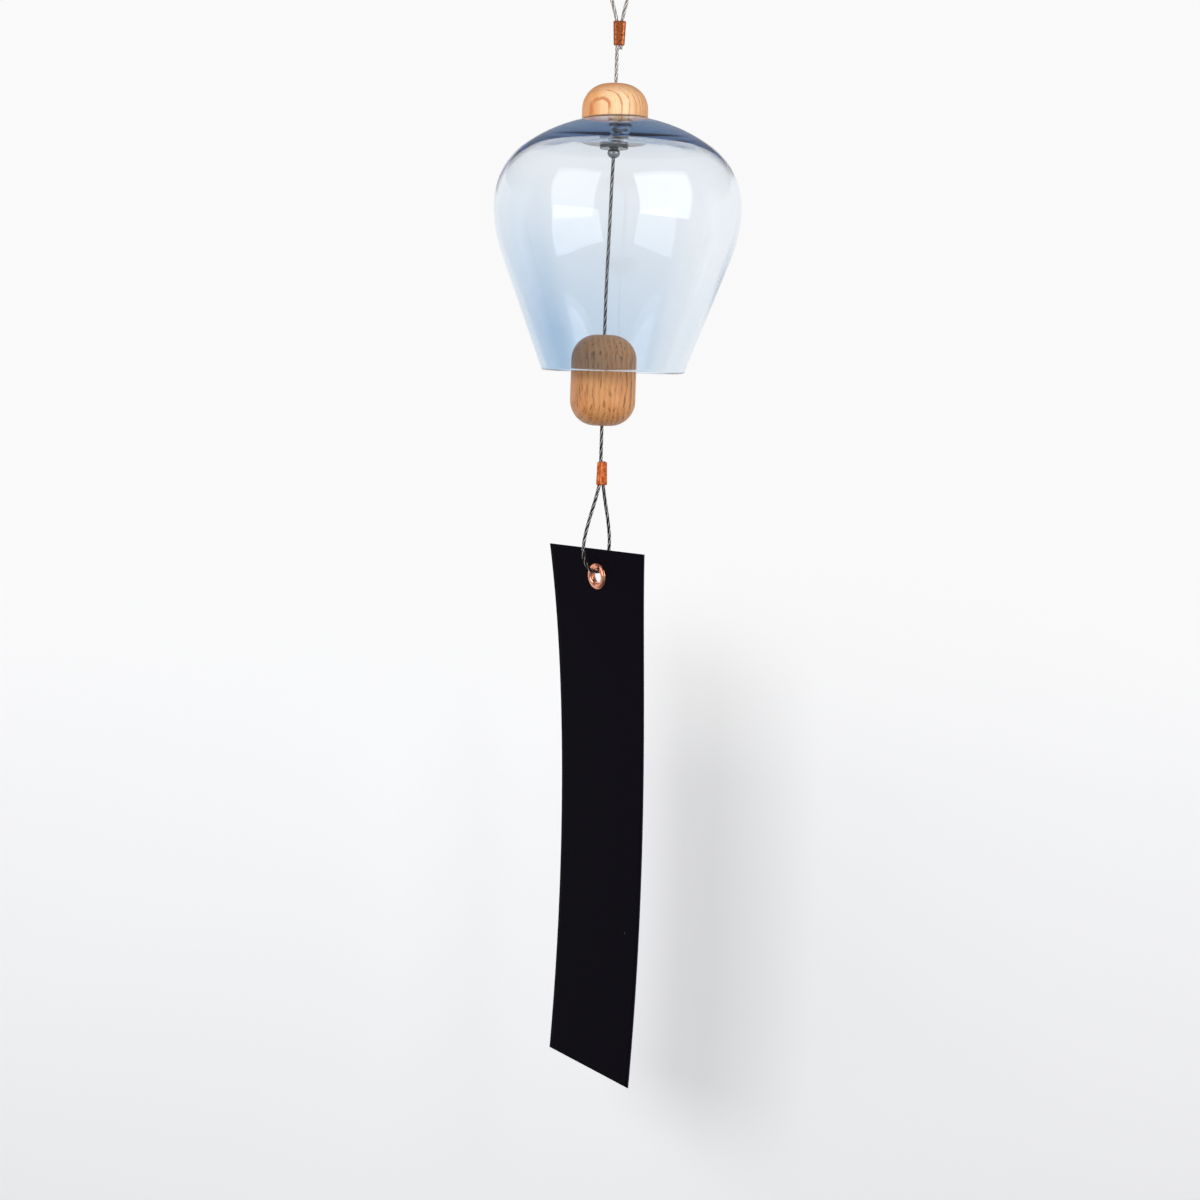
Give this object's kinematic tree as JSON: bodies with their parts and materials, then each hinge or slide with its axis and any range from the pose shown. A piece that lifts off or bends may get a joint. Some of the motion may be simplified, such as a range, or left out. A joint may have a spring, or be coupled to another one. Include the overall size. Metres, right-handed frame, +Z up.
{
  "type": "glass wind bell with oak clapper and paper strip",
  "caption": "Hanging wind bell: a blue glass bell on steel rope under an oak cap, rung by an oak clapper that a bowed black paper strip swings in the wind.",
  "frame": {"origin": "where a hook bears on the inside of the hanging loop, at the top of the part", "axes": "+Z up along the hanging rope, +X to the right and +Y away from the viewer in the front view"},
  "size_m": [0.1054, 0.1054, 0.4922],
  "materials": {
    "rope": "stranded steel wire",
    "copper": "crimped copper, mottled",
    "oak": "turned oak, oiled satin",
    "glass": "clear pale blue blown glass",
    "gasket": "matt black rubber",
    "steel": "polished steel",
    "strip": "matt black heavy paper",
    "eyelet": "polished copper"
  },
  "bodies": {
    "hanger": {"hanging_cable": "rope", "upper_ferrule": "copper"},
    "bell": {"glass_bell": "glass"},
    "cap": {"oak_cap": "oak"},
    "seat": {"support_washer": "steel", "glass_gasket": "gasket"},
    "clapper": {"ball_stop": "steel", "clapper_cable": "rope", "oak_clapper": "oak", "clapper_stop": "copper"},
    "tail": {"strip_cable": "rope", "lower_ferrule": "copper"},
    "strip": {"wind_strip": "strip", "eyelet_front": "eyelet", "eyelet_back": "eyelet"}
  },
  "joints": [
    {"name": "bell_turn", "type": "hinge", "parent": "hanger", "child": "bell", "pos_m": [0.0024, 0, -0.08527], "axis": [0, 0, 1], "continuous": true},
    {"name": "cap_lift", "type": "slide", "parent": "hanger", "child": "cap", "axis": [0, 0, 1], "range_m": [0, 0.014]},
    {"name": "clapper_turn", "type": "hinge", "parent": "hanger", "child": "seat", "pos_m": [0, 0, -0.08627], "axis": [0, 0, 1], "range_deg": [-180, 180]},
    {"name": "clapper_swing", "type": "hinge", "parent": "seat", "child": "clapper", "pos_m": [0, 0, -0.08959], "axis": [0, 1, 0], "range_deg": [-7.8, 6]},
    {"name": "tail_swing", "type": "hinge", "parent": "clapper", "child": "tail", "pos_m": [-0.0015, 0, -0.20489], "axis": [0.6293, -0.7771, 0], "range_deg": [-20, 20]},
    {"name": "strip_swing", "type": "hinge", "parent": "tail", "child": "strip", "pos_m": [-0.0015, 0, -0.26949], "axis": [0.7771, 0.6293, 0], "range_deg": [-30, 30]}
  ]
}
